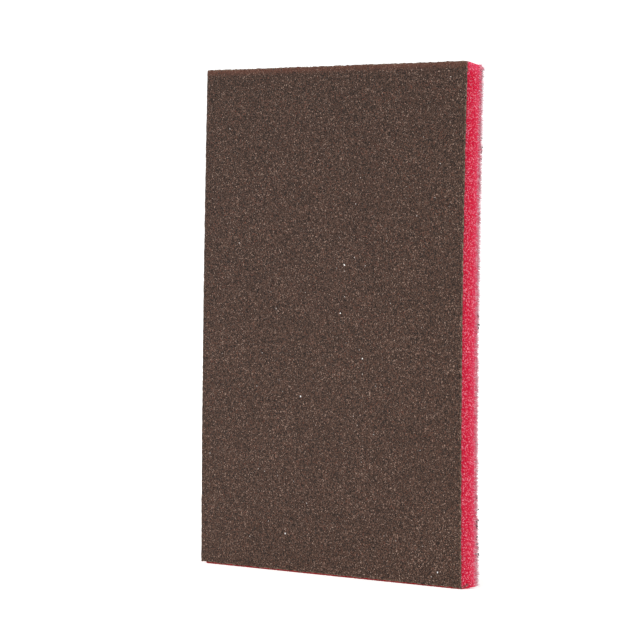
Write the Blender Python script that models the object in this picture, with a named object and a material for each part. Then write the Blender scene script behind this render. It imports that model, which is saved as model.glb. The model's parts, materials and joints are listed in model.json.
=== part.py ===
"""Flexible two-sided sanding pad: a sheet of open-cell foam with an abrasive coat on each face.

The pad stands on a short edge. X runs across its width, Y through its thickness with the front
face towards -Y, and Z up its height. The origin is the middle of the bottom edge. Units: metres.
"""

import bmesh
import bpy
from mathutils import Matrix

# The cut sheet of foam.
PAD_WIDTH = 0.115
PAD_HEIGHT = 0.140
FOAM_THICKNESS = 0.0050
CORNER_RADIUS = 0.0008
CORNER_SEGMENTS = 4

# The coats end a little above the foam's bottom edge, so the pad stands on its foam.
COAT_BOTTOM_MARGIN = 0.0003

# Bonded layers of one face, from the foam outwards: name, thickness, sRGB colour, roughness.
COAT_LAYERS = (
    ("barrier_coat", 0.00005, 0x6B2A2A, 0.55),
    ("make_coat", 0.00005, 0x4A3529, 0.50),
    ("grit_layer", 0.00011, 0x54463E, 0.80),
    ("size_coat", 0.00005, 0x5A4A40, 0.60),
)

# Each layer is a closed solid of its own, so a hairline of air stands for the bond.
BOND_GAP = 0.00001

FOAM_COLOR = 0xD9264A
FOAM_ROUGHNESS = 0.95

# Faces of the pad and the direction along Y in which their layers build up.
FACES = (("front", -1), ("rear", 1))


def linear_color(srgb_hex):
    """The linear RGBA of an sRGB colour written as 0xRRGGBB."""
    channels = [((srgb_hex >> shift) & 255) / 255 for shift in (16, 8, 0)]
    linear = [c / 12.92 if c <= 0.04045 else ((c + 0.055) / 1.055) ** 2.4 for c in channels]
    return (*linear, 1.0)


def make_material(name, srgb_hex, roughness):
    """A plain non-metallic Principled material."""
    material = bpy.data.materials.new(name)
    material.use_nodes = True
    shader = material.node_tree.nodes["Principled BSDF"]
    shader.inputs["Base Color"].default_value = linear_color(srgb_hex)
    shader.inputs["Roughness"].default_value = roughness
    shader.inputs["Metallic"].default_value = 0.0
    material.diffuse_color = linear_color(srgb_hex)
    return material


def make_sheet(name, thickness, y_middle, z_bottom, material):
    """A flat upright sheet, as wide as the pad, whose four outline corners are slightly rounded."""
    height = PAD_HEIGHT - z_bottom
    bm = bmesh.new()
    bmesh.ops.create_cube(bm, size=1.0, matrix=Matrix.Diagonal((PAD_WIDTH, thickness, height, 1.0)))
    outline_corners = [
        edge for edge in bm.edges if abs(edge.verts[0].co.y - edge.verts[1].co.y) > thickness / 2
    ]
    bmesh.ops.bevel(
        bm,
        geom=outline_corners,
        offset=CORNER_RADIUS,
        offset_type="OFFSET",
        segments=CORNER_SEGMENTS,
        profile=0.5,
        affect="EDGES",
        material=-1,
    )
    mesh = bpy.data.meshes.new(name)
    bm.to_mesh(mesh)
    bm.free()
    mesh.materials.append(material)
    sheet = bpy.data.objects.new(name, mesh)
    sheet.location = (0.0, y_middle, z_bottom + height / 2)
    bpy.context.scene.collection.objects.link(sheet)
    return sheet


def make_foam_core():
    """The foam sheet that everything else is bonded to."""
    foam_material = make_material("foam_core", FOAM_COLOR, FOAM_ROUGHNESS)
    return make_sheet("foam_core", FOAM_THICKNESS, 0.0, 0.0, foam_material)


def make_abrasive_face(face, direction):
    """Stacks one face's layers outwards from the foam, and parents them to the face's empty."""
    holder = bpy.data.objects.new(face + "_face", None)
    holder.location = (0.0, direction * FOAM_THICKNESS / 2, 0.0)
    bpy.context.scene.collection.objects.link(holder)
    bpy.context.view_layer.update()
    inner_side = FOAM_THICKNESS / 2
    for layer, thickness, srgb_hex, roughness in COAT_LAYERS:
        name = f"{face}_{layer}"
        inner_side += BOND_GAP
        y_middle = direction * (inner_side + thickness / 2)
        material = make_material(name, srgb_hex, roughness)
        sheet = make_sheet(name, thickness, y_middle, COAT_BOTTOM_MARGIN, material)
        sheet.parent = holder
        sheet.matrix_parent_inverse = holder.matrix_world.inverted()
        inner_side += thickness


def main():
    for old in list(bpy.data.objects):
        bpy.data.objects.remove(old, do_unlink=True)
    make_foam_core()
    for face, direction in FACES:
        make_abrasive_face(face, direction)


main()
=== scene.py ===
import json
import math
import random

import bmesh
import bpy
import numpy as np
from mathutils import Matrix, Vector, noise

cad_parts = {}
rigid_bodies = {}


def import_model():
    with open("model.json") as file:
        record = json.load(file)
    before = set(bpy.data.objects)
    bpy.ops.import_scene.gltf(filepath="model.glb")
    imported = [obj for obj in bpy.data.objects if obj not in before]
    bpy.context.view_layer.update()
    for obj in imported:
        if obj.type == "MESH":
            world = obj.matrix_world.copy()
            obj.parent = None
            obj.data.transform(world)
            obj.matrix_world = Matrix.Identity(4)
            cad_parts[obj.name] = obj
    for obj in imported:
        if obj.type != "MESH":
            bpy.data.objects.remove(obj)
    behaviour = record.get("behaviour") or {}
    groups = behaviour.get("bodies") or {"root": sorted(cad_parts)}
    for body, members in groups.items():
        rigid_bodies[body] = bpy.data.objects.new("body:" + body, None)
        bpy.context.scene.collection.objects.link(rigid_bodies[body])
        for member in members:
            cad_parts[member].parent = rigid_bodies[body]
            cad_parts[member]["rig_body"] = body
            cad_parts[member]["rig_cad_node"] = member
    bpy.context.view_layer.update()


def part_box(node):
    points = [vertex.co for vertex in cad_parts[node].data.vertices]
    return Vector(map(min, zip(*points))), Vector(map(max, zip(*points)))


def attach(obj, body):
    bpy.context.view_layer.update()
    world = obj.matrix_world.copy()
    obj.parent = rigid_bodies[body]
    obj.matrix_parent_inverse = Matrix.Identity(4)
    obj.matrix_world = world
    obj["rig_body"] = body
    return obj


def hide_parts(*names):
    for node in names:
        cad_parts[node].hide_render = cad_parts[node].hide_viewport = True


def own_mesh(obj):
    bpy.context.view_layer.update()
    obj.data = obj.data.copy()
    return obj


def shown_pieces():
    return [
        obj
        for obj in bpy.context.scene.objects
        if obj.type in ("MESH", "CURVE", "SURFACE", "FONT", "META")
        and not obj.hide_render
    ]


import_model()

mm = 0.001
scene = bpy.context.scene

foamLow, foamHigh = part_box("foam_core")
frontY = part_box("front_size_coat")[0].y
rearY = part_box("rear_size_coat")[1].y

# how the real pad differs from a flat, square sheet
pad = {
    "width": foamHigh.x - foamLow.x,
    "height": foamHigh.z - foamLow.z,
    "thickness": rearY - frontY,
    "bowLeft": 0.39 * mm,         # how far it bulges forwards half way up
    "bowRight": 0.73 * mm,
    "rearTopInset": 1.3 * mm,     # the die cuts the ends of the rear face a little short
    "rearBottomInset": 0.6 * mm,
    "insetCurve": 1.45,           # over 1 keeps the front square
    "leftLean": 0.23 * mm,        # the left edge was cut slightly out of square
    "taper": 0.15 * mm,           # a little thicker at the bottom
    "cornerRadius": 0.35 * mm,
    "rightFrom": 0.48,            # the right edge and what is beside it, in widths from the middle
}


def smoothStep(low, high, value):
    t = np.clip((value - low) / (high - low), 0, 1)
    return t * t * (3 - 2 * t)


def readVertices(mesh, what):
    # what is "co" or "normal"
    found = np.empty(len(mesh.vertices) * 3, np.float32)
    mesh.vertices.foreach_get(what, found)
    return found.reshape(-1, 3).astype(float)


def writePoints(mesh, co):
    mesh.vertices.foreach_set("co", co.astype(np.float32).ravel())
    mesh.update()


def saveValue(mesh, name, value):
    # for a material's Attribute node
    layer = mesh.attributes.new(name, "FLOAT", "POINT")
    layer.data.foreach_set("value", value.astype(np.float32))


def unevenness(co, wavelength, chosen):
    # smooth noise from -1 to 1 at the chosen points, and 0 at the rest
    found = np.zeros(len(co))
    for i in np.flatnonzero(chosen):
        found[i] = noise.noise(Vector(co[i]) / wavelength)
    return found


def acrossAndUp(co):
    # from 0 at the bottom left to 1 at the top right
    return (co[:, 0] - foamLow.x) / pad["width"], (co[:, 2] - foamLow.z) / pad["height"]


def onRight(co):
    return co[:, 0] > pad["rightFrom"] * pad["width"]


def bowAt(co):
    # how far the pad bulges forwards there
    across, up = acrossAndUp(co)
    bow = pad["bowLeft"] + (pad["bowRight"] - pad["bowLeft"]) * across
    return bow * (1 - (2 * up - 1) ** 2)


def relax(co):
    # turns flat places in the frame into places on the bowed pad
    across, up = acrossAndUp(co)
    depth = (co[:, 1] - frontY) / pad["thickness"]
    inset = np.maximum(depth, 0) ** pad["insetCurve"]
    moved = co.copy()
    moved[:, 0] += pad["leftLean"] * (2 * up - 1) * (1 - across)
    moved[:, 1] += depth * pad["taper"] * (1 - 2 * up) - bowAt(co)
    moved[:, 2] += (pad["rearBottomInset"] * (1 - up) - pad["rearTopInset"] * up) * inset
    return moved


def roundCorners(co, radius):
    # pulls the four outline corners onto arcs
    middle = np.array([(foamLow.x + foamHigh.x) / 2, (foamLow.z + foamHigh.z) / 2])
    half = np.array([pad["width"], pad["height"]]) / 2 - radius
    flat = co[:, [0, 2]] - middle
    over = np.abs(flat) - half
    both = (over > 0).all(axis=1)
    reach = np.maximum(np.hypot(over[:, 0], over[:, 1]), 1e-12)
    shrink = np.where(both & (reach > radius), radius / reach, 1.0)
    kept = np.where(both[:, None], np.sign(flat) * (half + over * shrink[:, None]), flat)
    co[:, [0, 2]] = kept + middle
    return co


def linear(hexText):
    # an sRGB hex colour as linear RGBA
    channels = [int(hexText[i:i + 2], 16) / 255 for i in (1, 3, 5)]
    return [c / 12.92 if c <= 0.04045 else ((c + 0.055) / 1.055) ** 2.4 for c in channels] + [1.0]


def addNode(tree, kind, values=None, links=None, **settings):
    made = tree.nodes.new(kind)
    for name, value in settings.items():
        setattr(made, name, value)
    for socket, value in (values or {}).items():
        made.inputs[socket].default_value = value
    for socket, source in (links or {}).items():
        tree.links.new(source, made.inputs[socket])
    return made


def setStops(ramp, stops):
    while len(ramp.elements) > 1:
        ramp.elements.remove(ramp.elements[-1])
    for i, (place, color) in enumerate(stops):
        stop = ramp.elements[0] if i == 0 else ramp.elements.new(place)
        stop.position = place
        stop.color = linear(color)


def startMaterial(name, **finish):
    # finish sets the shader's own sockets, with _ for a space
    made = bpy.data.materials.new(name)
    made.use_nodes = True
    shader = made.node_tree.nodes["Principled BSDF"]
    for socket, value in finish.items():
        shader.inputs[socket.replace("_", " ")].default_value = value
    return made, made.node_tree, shader


def slicedBox(low, high, cell, layers):
    # a box cut into square cells across X and Z, and into layers through its thickness
    bm = bmesh.new()
    size = high - low
    place = Matrix.Translation((low + high) / 2) @ Matrix.Diagonal((*size, 1.0))
    bmesh.ops.create_cube(bm, size=1.0, matrix=place)
    for axis, count in ((0, round(size.x / cell)), (1, layers), (2, round(size.z / cell))):
        normal = Vector([float(i == axis) for i in range(3)])
        for step in range(1, count):
            at = low + normal * (size[axis] * step / count)
            bmesh.ops.bisect_plane(bm, geom=[*bm.verts, *bm.edges, *bm.faces], dist=1e-7,
                                   plane_co=at, plane_no=normal)
    bm.edges.index_update()
    return bm


def finishPiece(name, bm, materials, body, nodes):
    mesh = bpy.data.meshes.new(name)
    bm.to_mesh(mesh)
    bm.free()
    for material in materials:
        mesh.materials.append(material)
    piece = bpy.data.objects.new(name, mesh)
    scene.collection.objects.link(piece)
    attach(piece, body)
    if nodes:
        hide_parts(*nodes)
    return piece


foamLook = {
    "nearCoat": "#A91330",        # deep red beside the front coat
    "body": "#B91736",
    "paler": "#C93F5C",           # towards the rear and the top
    "strut": "#DC8899",
    "underLip": "#8E1A1A",        # in the coat's shade, below its bottom edge
    "tintPatch": 0.35 * mm,       # the dye takes a little unevenly
    "tintChange": 0.12,
}


def polyurethaneFoam():
    # open-cell polyurethane foam, dyed through: matt and crimson, with paler cut struts
    material, tree, shader = startMaterial("polyurethane_foam", Roughness=0.9,
                                           Specular_IOR_Level=0.06, Subsurface_Weight=0.15,
                                           Subsurface_Scale=0.8 * mm)
    place = addNode(tree, "ShaderNodeTexCoord").outputs["Object"]
    paleness = addNode(tree, "ShaderNodeAttribute", attribute_name="paleness").outputs["Fac"]
    strutTone = addNode(tree, "ShaderNodeAttribute", attribute_name="strutTone").outputs["Fac"]
    lip = addNode(tree, "ShaderNodeAttribute", attribute_name="underLip").outputs["Fac"]
    patch = addNode(tree, "ShaderNodeTexNoise",
                    {"Scale": 1 / foamLook["tintPatch"], "Detail": 2.0}, {"Vector": place})
    shift = addNode(tree, "ShaderNodeMapRange",
                    {"To Min": -foamLook["tintChange"], "To Max": foamLook["tintChange"]},
                    {"Value": patch.outputs["Fac"]})
    dye = addNode(tree, "ShaderNodeMath", {}, {0: paleness, 1: shift.outputs[0]}, operation="ADD",
                  use_clamp=True)
    dyed = addNode(tree, "ShaderNodeValToRGB", {}, {"Fac": dye.outputs[0]})
    setStops(dyed.color_ramp, [(0.0, foamLook["nearCoat"]), (0.3, foamLook["body"]),
                               (1.0, foamLook["paler"])])
    strutted = addNode(tree, "ShaderNodeMix", {"B": linear(foamLook["strut"])},
                       {"Factor": strutTone, "A": dyed.outputs["Color"]}, data_type="RGBA")
    lipped = addNode(tree, "ShaderNodeMix", {"B": linear(foamLook["underLip"])},
                     {"Factor": lip, "A": strutted.outputs["Result"]}, data_type="RGBA")
    tree.links.new(lipped.outputs["Result"], shader.inputs["Base Color"])
    return material


foam = {
    "cell": 0.37 * mm,            # open cells, about 70 to the inch, in shallow pits
    "meshStep": 0.105 * mm,       # on the cut sides
    "blockStep": 2.0 * mm,        # under the coats
    "pitDepth": 0.14 * mm,
    "pitFrom": 0.08,              # where a pit starts, and where it is full, in cells from its wall
    "pitFull": 0.45,
    "strutWidth": 0.18,           # the pale wall between two cells, and its palest part, in cells
    "strutPalest": 0.02,
    "strutBreaks": (-0.15, 0.35),  # the unevenness between which the walls fade in
    "waist": 0.08 * mm,           # the cut sides are slightly hollow, and wavy
    "wave": 0.07 * mm,
    "waveLength": 9 * mm,
    "tuck": 0.1 * mm,             # the cut foam springs back behind the rim of the coat
    "tuckWidth": 0.35 * mm,
    "tornWidth": 0.8 * mm,        # the die tears the foam's rear edge, which then swells
    "tornSwell": 0.13 * mm,
    "tornRoughness": 0.2 * mm,
    "tornGrain": 0.4 * mm,
    "frayWidth": 1.3 * mm,        # where torn strut ends stand out
    "bottomRoughness": 0.2 * mm,  # the weight presses the bottom flatter than the rest
    "bottomWave": 0.14 * mm,
    "bottomWaveLength": 1.4 * mm,
    "nickWidth": 2.8 * mm,        # the bottom left corner was nipped when it was cut
    "nickFull": 0.6,
    "nickHeight": 0.4 * mm,
    "nickReach": 6 * mm,
    "fadeFront": (0.3, 2 * mm),   # how much paler the foam is made, and over how far from there
    "fadeRear": (0.6, 2.6 * mm),
    "fadeTop": (0.8, 3.2 * mm),
    "lipHeight": 0.9 * mm,        # the shaded strip below the front coat
    "lipFull": 0.5,
}


def carveFoam(mesh):
    # pits, hollows and torn edges in the cut sides, then the pad's bow
    co = roundCorners(readVertices(mesh, "co"), pad["cornerRadius"])
    writePoints(mesh, co)
    out = readVertices(mesh, "normal")
    isSide = np.hypot(out[:, 0], out[:, 2]) > 0.3
    isBottom = (out[:, 2] < -0.5) & isSide
    out[:, 1] = 0
    out /= np.maximum(np.linalg.norm(out, axis=1), 1e-9)[:, None]
    fromFront = co[:, 1] - foamLow.y
    fromRear = foamHigh.y - co[:, 1]
    fromFace = np.minimum(fromFront, fromRear)
    fromTop = foamHigh.z - co[:, 2]
    wallGap = np.zeros(len(co))
    for i in np.flatnonzero(isSide):
        near = noise.voronoi(Vector(co[i]) / foam["cell"])[0]
        wallGap[i] = near[1] - near[0]
    broken = unevenness(co, foam["tornGrain"], isSide)
    pit = smoothStep(foam["pitFrom"], foam["pitFull"], wallGap)
    pit *= smoothStep(0, foam["tuckWidth"], fromFace)
    torn = smoothStep(foam["tornWidth"], 0, fromRear)
    depth = pit * foam["pitDepth"]
    depth += np.clip(2 * fromFace / (foamHigh.y - foamLow.y), 0, 1) * foam["waist"]
    depth -= unevenness(co, foam["waveLength"], isSide) * foam["wave"]
    depth += smoothStep(foam["tuckWidth"], 0, fromFront) * foam["tuck"]
    depth += torn * (broken * foam["tornRoughness"] - foam["tornSwell"])
    bottomWave = unevenness(co, foam["bottomWaveLength"], isBottom)
    bottomDepth = np.maximum(broken, 0) * foam["bottomRoughness"]
    bottomDepth += np.maximum(bottomWave, 0) * foam["bottomWave"]
    depth = np.where(isBottom, bottomDepth, depth)
    co -= out * (depth * isSide)[:, None]
    fromLeft = co[:, 0] - foamLow.x
    nick = smoothStep(foam["nickWidth"], foam["nickFull"] * foam["nickWidth"], fromLeft)
    co[:, 2] += nick * smoothStep(foam["nickReach"], 0, co[:, 2]) * foam["nickHeight"]
    strutTone = smoothStep(foam["strutWidth"], foam["strutPalest"], wallGap)
    strutTone *= smoothStep(*foam["strutBreaks"], broken)
    # the foam is made darker beside the front coat and paler towards the rear and the top
    paleness = foam["fadeFront"][0] * smoothStep(0, foam["fadeFront"][1], fromFront)
    paleness += foam["fadeRear"][0] * smoothStep(foam["fadeRear"][1], 0, fromRear)
    paleness += foam["fadeTop"][0] * smoothStep(foam["fadeTop"][1], 0, fromTop)
    lip = smoothStep(foam["lipHeight"], foam["lipFull"] * foam["lipHeight"], co[:, 2])
    lip *= fromFront < foam["tuckWidth"]
    writePoints(mesh, relax(co))
    saveValue(mesh, "strutTone", strutTone * isSide)
    saveValue(mesh, "paleness", paleness)
    saveValue(mesh, "underLip", lip)
    frayed = smoothStep(foam["frayWidth"], 0, fromRear) ** 2
    return isSide & ~isBottom, frayed, strutTone


def buildFoam():
    bm = slicedBox(foamLow, foamHigh, foam["blockStep"], 2)
    cutSides = [f for f in bm.faces if abs(f.normal.y) < 0.5]
    edges = sorted({e for f in cutSides for e in f.edges}, key=lambda e: e.index)
    cuts = round(foam["blockStep"] / foam["meshStep"]) - 1
    bmesh.ops.subdivide_edges(bm, edges=edges, cuts=cuts, use_grid_fill=True)
    piece = finishPiece("foam_core_cut", bm, [polyurethaneFoam()], "foam_and_rear_face",
                        ["foam_core"])
    return piece, *carveFoam(piece.data)


def addBatch(whole, batch):
    # small batches keep the operators fast
    part = bpy.data.meshes.new("batch")
    batch.to_mesh(part)
    batch.free()
    whole.from_mesh(part)
    bpy.data.meshes.remove(part)


struts = {
    "offTheFloor": 0.8 * mm,
    "sideTone": 0.4,              # they stand where the cell walls are at least this pale
    "onSides": 6500,
    "sideLength": (0.1 * mm, 0.22 * mm),
    "onRearEdge": 14500,
    "edgeLength": (0.55 * mm, 1.4 * mm),
    "endsShorter": 0.6,           # at the top and bottom
    "edgeLean": 0.85,             # the torn ones point backwards
    "width": (0.08 * mm, 0.13 * mm),    # at the root: they come to a point
    "scatter": 0.55,              # how far they lean at random
    "batch": 100,
    "sideTones": ((0.42, "#DF98A8"), (0.4, "#D67D90"), (0.18, "#F2D3D9")),    # share, colour
    "topTones": ((0.35, "#DF98A8"), (0.65, "#CBB3B9")),
    "edgeTones": ((0.38, "#E0B6BF"), (0.3, "#D64C69"), (0.32, "#D8718A")),
    "outerTones": ((0.5, "#C4ABB1"), (0.25, "#D06C84"), (0.25, "#D6A9B3")),
    "grittyTones": ((0.45, "#C4ABB1"), (0.3, "#D06C84"), (0.25, "#5C3D36")),
    "outer": 0.8,                 # those frayed about this much are dusty, and gritty in patches
    "outerSpread": 0.2,
    "grittyPatch": 3.5 * mm,
    "gritty": 0.2,
    "otherEdges": 0.35,           # the right edge is the most frayed
}


def cutStrut(number, hexText):
    # polyurethane foam again, but only its cut strut ends: so thin that they look paler
    return startMaterial(f"foam_strut_end_{number}", Base_Color=linear(hexText), Roughness=0.7,
                         Specular_IOR_Level=0.25)[0]


def growStruts(foamPiece, isSide, frayed, strutTone):
    # thin three-sided spikes that stand on the cut cell walls, longest along the frayed rear edge
    rng = random.Random(7)
    co = readVertices(foamPiece.data, "co")
    out = readVertices(foamPiece.data, "normal")
    allowed = isSide & (co[:, 2] > struts["offTheFloor"])
    onSides = np.flatnonzero(allowed & (strutTone > struts["sideTone"]))
    onEdge = np.flatnonzero(allowed & (frayed > 0))
    groups = ("sideTones", "topTones", "edgeTones", "outerTones", "grittyTones")
    tones = [tone for group in groups for tone in struts[group]]
    jobs = []
    for i in rng.choices(onSides, k=struts["onSides"]):
        choice = struts["topTones"] if out[i][2] > 0.5 else struts["sideTones"]
        tone = rng.choices(choice, [share for share, color in choice])[0]
        jobs.append((i, rng.uniform(*struts["sideLength"]), 0.0, tones.index(tone)))
    atRight = onRight(co)
    weights = frayed * np.where(atRight, 1.0, struts["otherEdges"])
    for i in rng.choices(onEdge, weights[onEdge], k=struts["onRearEdge"]):
        length = rng.uniform(*struts["edgeLength"])
        choice = struts["edgeTones"]
        patch = noise.noise(Vector(co[i]) / struts["grittyPatch"])
        if atRight[i] and frayed[i] > struts["outer"] + struts["outerSpread"] * patch:
            choice = struts["grittyTones"] if patch > struts["gritty"] else struts["outerTones"]
        tone = rng.choices(choice, [share for share, color in choice])[0]
        jobs.append((i, length, struts["edgeLean"], tones.index(tone)))
    whole = bmesh.new()
    for start in range(0, len(jobs), struts["batch"]):
        batch = bmesh.new()
        for i, length, backwards, tone in jobs[start:start + struts["batch"]]:
            lean = Vector([rng.uniform(-1, 1) for _ in range(3)]) * struts["scatter"]
            direction = (Vector(out[i]) + lean + Vector((0, backwards, 0))).normalized()
            length *= 1 - struts["endsShorter"] * abs(out[i][2])
            width = rng.uniform(*struts["width"])
            middle = Vector(co[i]) + direction * (length / 2 - width / 2)
            turn = direction.to_track_quat("Z", "Y").to_matrix().to_4x4()
            made = bmesh.ops.create_cone(batch, segments=3, radius1=width / 2, radius2=0,
                                         depth=length, cap_ends=True,
                                         matrix=Matrix.Translation(middle) @ turn)
            for f in {f for v in made["verts"] for f in v.link_faces}:
                f.material_index = tone
        addBatch(whole, batch)
    materials = [cutStrut(i, color) for i, (share, color) in enumerate(tones)]
    return finishPiece("foam_strut_ends", whole, materials, "foam_and_rear_face", [])


foamPiece, isSide, frayed, strutTone = buildFoam()
print("foam core:", len(foamPiece.data.polygons), "faces")
strutPiece = growStruts(foamPiece, isSide, frayed, strutTone)
print("strut ends:", len(strutPiece.data.polygons), "faces")


filmLook = {"color": "#6A2A2A", "dark": "#4B2422", "patch": 1.5 * mm}
resinLook = {"color": "#5E5143", "dark": "#40352C", "patch": 0.8 * mm}


def patchyMaterial(name, look, **finish):
    # two shades that blend into each other in patches
    material, tree, shader = startMaterial(name, **finish)
    place = addNode(tree, "ShaderNodeTexCoord").outputs["Object"]
    patch = addNode(tree, "ShaderNodeTexNoise", {"Scale": 1 / look["patch"]}, {"Vector": place})
    ramp = addNode(tree, "ShaderNodeValToRGB", {}, {"Fac": patch.outputs["Fac"]})
    setStops(ramp.color_ramp, [(0.35, look["dark"]), (0.65, look["color"])])
    tree.links.new(ramp.outputs["Color"], shader.inputs["Base Color"])
    return material


def elastomerFilm():
    # the elastomer film that seals the foam: a dull brown-red, darker where it lies thick
    return patchyMaterial("elastomer_barrier_film", filmLook, Roughness=0.6, Specular_IOR_Level=0.3)


def phenolicResin():
    # cured phenolic resin: brittle and olive-brown where the cut shows its thickness
    return patchyMaterial("phenolic_make_resin", resinLook, Roughness=0.45, Specular_IOR_Level=0.4)


coatLook = {
    "pit": "#0E0805",
    "resin": "#21150E",
    "grain": "#422E24",
    "pale": "#5E463B",
    # the palest grains; this stop also stands in for glints, a painted highlight
    "speckAndGlint": "#A08779",
    "rim": "#7C6F5F",             # painted highlight along the coat's rim, where its cut edge would catch the light
    "rimHighlightStrength": 0.75,
    "rust": "#643A2D",
    "rustShare": 0.018,           # of the grains
    "grainSize": 0.21 * mm,       # 80 grit
    "mottleSize": 1.6 * mm,
    "mottle": 0.025,
    "shade": (1.07, 0.86),        # painted shade: the colour is lighter at the bottom and darker towards the top, like light bounced up from the floor
    "cloudSize": 25 * mm,
    "bumpHeight": 0.05 * mm,
    "rustBand": 2.3 * mm,         # the resin is thin along the top, and the red film shows through
    "rustBandFull": 0.5 * mm,
    "rustBandTint": 0.4,
}


def grainedResin():
    # aluminium oxide grains under a thin resin size: dull dark brown, each grain a shade of its own
    material, tree, shader = startMaterial("resin_sized_aluminium_oxide", Roughness=0.62,
                                           Specular_IOR_Level=0.12)
    place = addNode(tree, "ShaderNodeTexCoord").outputs["Object"]
    cells = addNode(tree, "ShaderNodeTexVoronoi", {"Scale": 1 / coatLook["grainSize"]},
                    {"Vector": place})
    tone = addNode(tree, "ShaderNodeSeparateColor", {}, {"Color": cells.outputs["Color"]})
    mottle = addNode(tree, "ShaderNodeTexNoise",
                     {"Scale": 1 / coatLook["mottleSize"], "Detail": 3.0}, {"Vector": place})
    cloud = addNode(tree, "ShaderNodeTexNoise", {"Scale": 1 / coatLook["cloudSize"]},
                    {"Vector": place})
    patches = addNode(tree, "ShaderNodeMath", {},
                      {0: mottle.outputs["Fac"], 1: cloud.outputs["Fac"]}, operation="ADD")
    shift = addNode(tree, "ShaderNodeMapRange",
                    {"From Max": 2.0, "To Min": -2 * coatLook["mottle"],
                     "To Max": 2 * coatLook["mottle"]},
                    {"Value": patches.outputs[0]})
    mixed = addNode(tree, "ShaderNodeMath", {}, {0: tone.outputs[0], 1: shift.outputs[0]},
                    operation="ADD", use_clamp=True)
    ramp = addNode(tree, "ShaderNodeValToRGB", {}, {"Fac": mixed.outputs[0]})
    setStops(ramp.color_ramp, [(0.0, coatLook["pit"]), (0.28, coatLook["resin"]),
                               (0.62, coatLook["grain"]), (0.95, coatLook["pale"]),
                               (1.0, coatLook["speckAndGlint"])])
    height = addNode(tree, "ShaderNodeSeparateXYZ", {}, {"Vector": place})
    # painted shade: the colour gets lighter towards the bottom and darker towards the top
    shade = addNode(tree, "ShaderNodeMapRange",
                    {"From Min": foamLow.z, "From Max": foamHigh.z,
                     "To Min": coatLook["shade"][0], "To Max": coatLook["shade"][1]},
                    {"Value": height.outputs["Z"]})
    shaded = addNode(tree, "ShaderNodeHueSaturation", {},
                     {"Color": ramp.outputs["Color"], "Value": shade.outputs[0]})
    rusty = addNode(tree, "ShaderNodeMath", {1: 1 - coatLook["rustShare"]}, {0: tone.outputs[1]},
                    operation="GREATER_THAN")
    band = addNode(tree, "ShaderNodeMapRange",
                   {"From Min": foamHigh.z - coatLook["rustBand"],
                    "From Max": foamHigh.z - coatLook["rustBandFull"],
                    "To Max": coatLook["rustBandTint"]},
                   {"Value": height.outputs["Z"]}, interpolation_type="SMOOTHSTEP")
    rustiness = addNode(tree, "ShaderNodeMath", {}, {0: rusty.outputs[0], 1: band.outputs[0]},
                        operation="MAXIMUM")
    rusted = addNode(tree, "ShaderNodeMix", {"B": linear(coatLook["rust"])},
                     {"Factor": rustiness.outputs[0], "A": shaded.outputs["Color"]}, data_type="RGBA")
    # painted highlight: the coat's rim is mixed towards a lighter grey-olive
    rimHighlight = addNode(tree, "ShaderNodeAttribute", attribute_name="rimHighlight").outputs["Fac"]
    rimHighlightStrength = addNode(tree, "ShaderNodeMath", {1: coatLook["rimHighlightStrength"]}, {0: rimHighlight},
                      operation="MULTIPLY")
    color = addNode(tree, "ShaderNodeMix", {"B": linear(coatLook["rim"])},
                    {"Factor": rimHighlightStrength.outputs[0], "A": rusted.outputs["Result"]}, data_type="RGBA")
    tree.links.new(color.outputs["Result"], shader.inputs["Base Color"])
    bump = addNode(tree, "ShaderNodeBump", {"Distance": coatLook["bumpHeight"]},
                   {"Height": cells.outputs["Distance"]}, invert=True)
    tree.links.new(bump.outputs["Normal"], shader.inputs["Normal"])
    return material


coat = {
    "cell": 2.1 * mm,
    "fineCuts": 4,                # 0.42 mm on the working surface
    "lump": 0.02 * mm,            # the foam's cells show through as a soft orange peel
    "lumpSize": 0.9 * mm,
    "grit": 0.04 * mm,
    "gritSize": 0.35 * mm,
    "edgeRoll": 0.06 * mm,        # the rim bends towards the foam
    "edgeWidth": 0.6 * mm,
    "ragged": 0.16 * mm,          # the rim's unevenness, coarse and fine
    "raggedSize": 1.1 * mm,
    "raggedFine": 0.14 * mm,
    "rimWidth": 0.6 * mm,
    "rimHighlightWidth": 0.3 * mm,      # where the painted rim highlight lies, in patches
    "rimHighlightPatch": 0.9 * mm,
    "rimHighlightBreaks": (-0.2, 0.4),  # the unevenness between which a patch fades in
    "bottomShort": 0.09 * mm,     # the foam shows below the front coat
    "rearShort": 0.75 * mm,       # the rear coat tears off short of the right edge, less at the others
    "rearShortElsewhere": 0.25 * mm,
    "rearTurn": (0.46, 0.49),     # in widths from the middle, where it goes from one to the other
    "rearWander": 2.5 * mm,
    "rearWanderShare": 0.5,
    "rearReaches": ((119, 6), (71, 4), (16, 9)),    # mm up where it holds on, and half how far
    "rearReachFull": 0.6,
    "rearHold": 1.25,             # over 1, it stands past the edge there
    "rearBreakUp": 0.8 * mm,
    "rearBreaks": (-0.1, 0.15),
    "dropWidth": 1.4 * mm,        # the front coat's bottom right corner hangs down over the foam
    "dropFull": 0.3,
    "drop": 0.22 * mm,
}


def rearRetreat(co, atRim):
    # how far the rear coat stops short of the edge
    held = np.zeros(len(co))
    for middle, half in coat["rearReaches"]:
        away = np.abs(co[:, 2] - middle * mm)
        held = np.maximum(held, smoothStep(half * mm, coat["rearReachFull"] * half * mm, away))
    atRight = onRight(co)
    broken = unevenness(co, coat["rearBreakUp"], atRight)
    held *= atRight * smoothStep(*coat["rearBreaks"], broken)
    more = coat["rearShort"] - coat["rearShortElsewhere"]
    more = more * smoothStep(*coat["rearTurn"], co[:, 0] / pad["width"])
    short = coat["rearShortElsewhere"] + more
    wander = 1 + coat["rearWanderShare"] * unevenness(co, coat["rearWander"], atRim)
    return short * wander * (1 - coat["rearHold"] * held)


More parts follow.
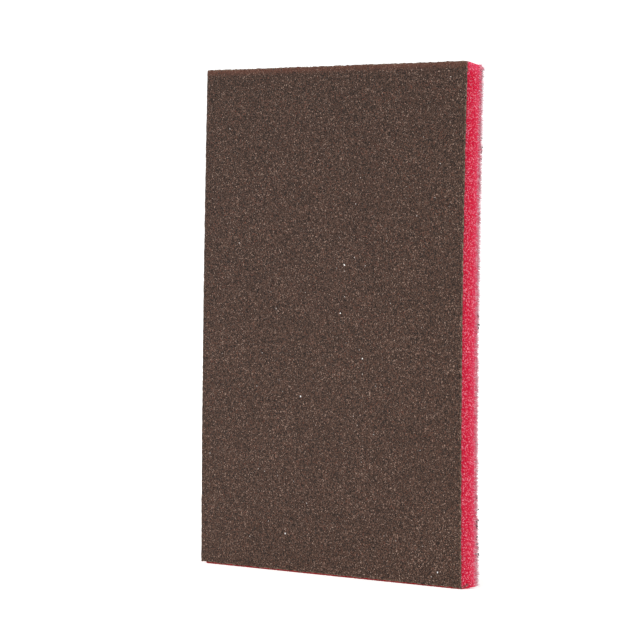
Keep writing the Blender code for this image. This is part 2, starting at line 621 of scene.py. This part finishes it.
def shapeSheet(piece, outward, rough):
    # ragged rim, rolled edge and surface relief, then the pad's bow
    mesh = piece.data
    co = readVertices(mesh, "co")
    low, high = co.min(axis=0), co.max(axis=0)
    middle = (low + high) / 2
    half = (high - low) / 2
    gaps = half - np.abs(co - middle)
    rim = np.minimum(gaps[:, 0], gaps[:, 2])
    outer = (co[:, 1] - middle[1]) * outward > 0
    atRim = rim < coat["rimWidth"]
    pull = unevenness(co, coat["raggedSize"], atRim) * coat["ragged"]
    pull += unevenness(co, coat["gritSize"], atRim) * coat["raggedFine"]
    if outward > 0:
        pull += rearRetreat(co, atRim)
    lift = np.zeros(len(co))
    if rough:
        lift += unevenness(co, coat["lumpSize"], outer) * coat["lump"]
        lift += unevenness(co, coat["gritSize"], outer) * coat["grit"]
        lift -= outer * coat["edgeRoll"] * smoothStep(coat["edgeWidth"], 0, rim)
    fromRight = high[0] - co[:, 0]
    drop = smoothStep(coat["dropWidth"], coat["dropFull"] * coat["dropWidth"], fromRight)
    drop = drop * coat["drop"] - coat["bottomShort"]
    drop *= smoothStep(coat["rimWidth"], 0, co[:, 2] - low[2]) * (outward < 0)
    for axis in (0, 2):
        pulled = pull * smoothStep(coat["rimWidth"], 0, gaps[:, axis])
        co[:, axis] -= np.sign(co[:, axis] - middle[axis]) * pulled
    co = roundCorners(co, pad["cornerRadius"])
    co[:, 1] += outward * lift
    co[:, 2] -= drop
    writePoints(mesh, relax(co))
    # a painted highlight along the rim, in patches
    highlitRim = smoothStep(coat["rimHighlightWidth"], 0, rim)
    highlitRim *= smoothStep(*coat["rimHighlightBreaks"], unevenness(co, coat["rimHighlightPatch"], atRim))
    saveValue(mesh, "rimHighlight", highlitRim)


def buildSheet(name, node, body, outward, material, inner=None):
    # the grained outer sheet is given inner: it reaches in to there, and its outside is finer
    low, high = (v.copy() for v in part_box(node))
    if inner is not None and outward < 0:
        high.y = inner
    if inner is not None and outward > 0:
        low.y = inner
    bm = slicedBox(low, high, coat["cell"], 1)
    walls = [f for f in bm.faces if abs(f.normal.y) < 0.5]
    around = [e for f in walls for e in f.edges]
    edges = {e for e in around if abs(e.verts[0].co.y - e.verts[1].co.y) < 1e-6}
    if inner is not None:
        edges |= {e for f in bm.faces if f.normal.y * outward > 0.5 for e in f.edges}
    edges = sorted(edges, key=lambda e: e.index)
    bmesh.ops.subdivide_edges(bm, edges=edges, cuts=coat["fineCuts"], use_grid_fill=True)
    piece = finishPiece(name, bm, [material], body, [node])
    shapeSheet(piece, outward, inner is not None)
    return piece


film = elastomerFilm()
resin = phenolicResin()
grainedCoat = grainedResin()
for face, outward, body in (("front", -1, "front_face"), ("rear", 1, "foam_and_rear_face")):
    buildSheet(face + "_barrier_film", face + "_barrier_coat", body, outward, film)
    buildSheet(face + "_make_resin", face + "_make_coat", body, outward, resin)
    gritLow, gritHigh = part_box(face + "_grit_layer")
    inner = gritHigh.y if outward < 0 else gritLow.y
    sheet = buildSheet(face + "_sized_surface", face + "_size_coat", body, outward, grainedCoat,
                       inner)
    print(face, "coat:", len(sheet.data.polygons), "faces")


grains = {
    "count": 15000,
    "size": (0.16 * mm, 0.3 * mm),
    "proud": 0.02 * mm,
    "sunk": 0.2,                  # of its own size, so that about half of a grain is in the resin
    "stretch": (0.55, 0.95),      # its three sides, in its own size
    "crush": 0.22,                # how uneven the corners are
    "margin": 0.35 * mm,          # from the edge of the coat
    "batch": 100,
    "tones": (                    # share, colour, roughness, size
        (0.37, "#1E1510", 0.6, 1.0),
        (0.36, "#352620", 0.5, 1.0),
        (0.19, "#4D3A31", 0.45, 1.0),
        (0.05, "#736158", 0.4, 0.9),
        (0.025, "#5C3327", 0.5, 0.9),
        # pale grains that also stand in for glints: partly painted highlight
        (0.0045, "#C9C1BC", 0.3, 1.0),
        # a few large white grains: painted glints
        (0.0003, "#F2EFEC", 0.2, 1.9),
    ),
}


def crushedGrain(number, hexText, rough):
    # crushed aluminium oxide: hard, glassy broken facets in several browns; a few near-white ones are
    # pale grains and partly painted glints
    return startMaterial(f"crushed_grain_{number}", Base_Color=linear(hexText), Roughness=rough,
                         IOR=1.76, Specular_IOR_Level=0.2)[0]


def pickTone(rng, shares):
    return rng.choices(range(len(shares)), shares)[0]


def addGrain(bm, rng, place, size, tone):
    turn = Matrix.Rotation(rng.uniform(0, math.tau), 4, "X")
    turn @= Matrix.Rotation(rng.uniform(0, math.tau), 4, "Z")
    stretch = Matrix.Diagonal([rng.uniform(*grains["stretch"]) for _ in range(3)] + [1.0])
    made = bmesh.ops.create_cube(bm, size=size, matrix=Matrix.Translation(place) @ turn @ stretch)
    for v in made["verts"]:
        v.co += Vector([rng.uniform(-1, 1) for _ in range(3)]) * size * grains["crush"]
    for f in {f for v in made["verts"] for f in v.link_faces}:
        f.material_index = tone


def scatterGrains(name, node, body, outward, materials, seed):
    rng = random.Random(seed)
    low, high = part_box(node)
    surface = frontY if outward < 0 else rearY
    margin = grains["margin"] + (coat["rearShort"] if outward > 0 else 0)
    shares = [tone[0] for tone in grains["tones"]]
    whole = bmesh.new()
    for _ in range(grains["count"] // grains["batch"]):
        batch = bmesh.new()
        for _ in range(grains["batch"]):
            tone = pickTone(rng, shares)
            size = rng.uniform(*grains["size"]) * grains["tones"][tone][3]
            x = rng.uniform(low.x + margin, high.x - margin)
            z = rng.uniform(low.z + margin, high.z - margin)
            y = surface + outward * (grains["proud"] - grains["sunk"] * size)
            addGrain(batch, rng, (x, y, z), size, tone)
        addBatch(whole, batch)
    piece = finishPiece(name, whole, materials, body, [node])
    writePoints(piece.data, relax(readVertices(piece.data, "co")))


strays = {
    "offTheFloor": 0.28 * mm,
    "alongEdge": 260,             # grains that came off when it was cut and stuck to the foam
    "edgeReach": 0.3 * mm,
    "atCorner": 30,               # a smear that rises towards the rear from the bottom right corner
    "cornerReach": 2.4 * mm,
    "cornerFrom": 0.15 * mm,
    "cornerHeight": 1.2 * mm,
    "smearHalf": 0.3,             # half its width, in heights of the corner
    "size": (0.13 * mm, 0.24 * mm),
    "shares": (0.1, 0.25, 0.35, 0.27, 0.03, 0, 0),    # of the grains' tones
    "caught": 75,                 # in the frayed rear edge, in clumps where the rear coat reaches it
    "caughtReach": (0.15 * mm, 0.42 * mm),
    "caughtSize": (0.2 * mm, 0.36 * mm),
    "caughtShares": (0.5, 0.35, 0.15, 0, 0, 0, 0),
    "clump": 1.6 * mm,
    "clumped": 0.1,
}


def scatterStrays(foamPiece, materials):
    # along the foam's front edge all round, in a smear at the bottom right corner, and in the fray
    rng = random.Random(13)
    co = readVertices(foamPiece.data, "co")
    out = readVertices(foamPiece.data, "normal")
    onSide = np.hypot(out[:, 0], out[:, 2]) > 0.7
    fromFront = co[:, 1] - foamLow.y + bowAt(co)
    offFloor = co[:, 2] > foamLow.z + strays["offTheFloor"]
    nearEdge = np.flatnonzero(onSide & offFloor & (fromFront < strays["edgeReach"]))
    rise = strays["cornerFrom"] + fromFront / strays["cornerReach"] * strays["cornerHeight"]
    inSmear = np.abs(co[:, 2] - rise) < strays["smearHalf"] * strays["cornerHeight"]
    atRight = onRight(co)
    inSmear &= onSide & atRight & offFloor
    nearCorner = np.flatnonzero(inSmear & (fromFront < strays["cornerReach"]))
    chosen = rng.choices(nearEdge, k=strays["alongEdge"])
    chosen += rng.choices(nearCorner, k=strays["atCorner"])
    bm = bmesh.new()
    for i in chosen:
        tone = pickTone(rng, strays["shares"])
        addGrain(bm, rng, co[i], rng.uniform(*strays["size"]), tone)
    fromRear = foamHigh.y - foamLow.y - fromFront
    atRear = onSide & atRight & (np.abs(fromRear) < strays["edgeReach"])
    clumps = unevenness(co, strays["clump"], atRear) > strays["clumped"]
    reached = np.zeros(len(co), bool)
    for middle, half in coat["rearReaches"]:
        reached |= np.abs(co[:, 2] - middle * mm) < half * mm
    for i in rng.choices(np.flatnonzero(atRear & clumps & reached), k=strays["caught"]):
        tone = pickTone(rng, strays["caughtShares"])
        reach = rng.uniform(*strays["caughtReach"])
        addGrain(bm, rng, co[i] + (reach, reach, 0), rng.uniform(*strays["caughtSize"]), tone)
    finishPiece("stray_grains", bm, materials, "foam_and_rear_face", [])


grainLooks = [crushedGrain(i, *tone[1:3]) for i, tone in enumerate(grains["tones"])]
scatterGrains("front_grains", "front_grit_layer", "front_face", -1, grainLooks, 21)
scatterGrains("rear_grains", "rear_grit_layer", "foam_and_rear_face", 1, grainLooks, 12)
scatterStrays(foamPiece, grainLooks)
print("grains scattered")

# each added piece gets a mesh of its own
for piece in [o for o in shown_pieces() if "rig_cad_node" not in o]:
    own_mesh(piece)

studio = {
    "floorSize": 6.0,
    "floorColor": "#F6F5F4",
    "floorGlow": 0.22,            # a lit table top, which keeps shadows faint
    "skyStrength": 1.2,
    "sunStrength": 1.1,
    "sunAngle": 50,               # degrees, like a large soft box
    "sunAzimuth": 20,
    "sunElevation": 50,
}


def buildFloor():
    bm = bmesh.new()
    bmesh.ops.create_grid(bm, x_segments=1, y_segments=1, size=studio["floorSize"] / 2)
    mesh = bpy.data.meshes.new("floor")
    bm.to_mesh(mesh)
    bm.free()
    mesh.materials.append(startMaterial(
        "pale_floor", Base_Color=linear(studio["floorColor"]), Roughness=0.9,
        Specular_IOR_Level=0.1, Emission_Color=(1, 1, 1, 1),
        Emission_Strength=studio["floorGlow"])[0])
    floor = bpy.data.objects.new("floor", mesh)
    scene.collection.objects.link(floor)


def directionFrom(azimuth, elevation):
    # towards a light or camera that is that many degrees round from the front, and up
    a = math.radians(azimuth)
    e = math.radians(elevation)
    return Vector((math.sin(a) * math.cos(e), -math.cos(a) * math.cos(e), math.sin(e)))


def buildLights():
    world = bpy.data.worlds.new("white_tent")
    world.use_nodes = True
    sky = world.node_tree.nodes["Background"]
    sky.inputs["Color"].default_value = (1, 1, 1, 1)
    sky.inputs["Strength"].default_value = studio["skyStrength"]
    scene.world = world
    sun = bpy.data.lights.new("key", "SUN")
    sun.energy = studio["sunStrength"]
    sun.angle = math.radians(studio["sunAngle"])
    key = bpy.data.objects.new("key", sun)
    towards = directionFrom(studio["sunAzimuth"], studio["sunElevation"])
    key.rotation_mode = "QUATERNION"
    key.rotation_quaternion = towards.to_track_quat("Z", "Y")
    scene.collection.objects.link(key)


shot = {
    "aim": (-0.00328, -0.00417, 0.07074),
    "azimuth": 51.9,
    "elevation": 0.95,
    "distance": 1.264,
    "roll": 0.655,
    "lens": 260.31,
}


def buildCamera():
    lens = bpy.data.cameras.new("camera")
    lens.lens = shot["lens"]
    lens.sensor_width = 36
    lens.clip_end = 20
    camera = bpy.data.objects.new("camera", lens)
    back = directionFrom(shot["azimuth"], shot["elevation"])
    turn = back.to_track_quat("Z", "Y").to_matrix().to_4x4()
    turn @= Matrix.Rotation(math.radians(shot["roll"]), 4, "Z")
    camera.matrix_world = Matrix.Translation(Vector(shot["aim"]) + back * shot["distance"]) @ turn
    scene.collection.objects.link(camera)
    scene.camera = camera


buildFloor()
buildLights()
buildCamera()
scene.view_settings.view_transform = "Standard"
print("studio ready")
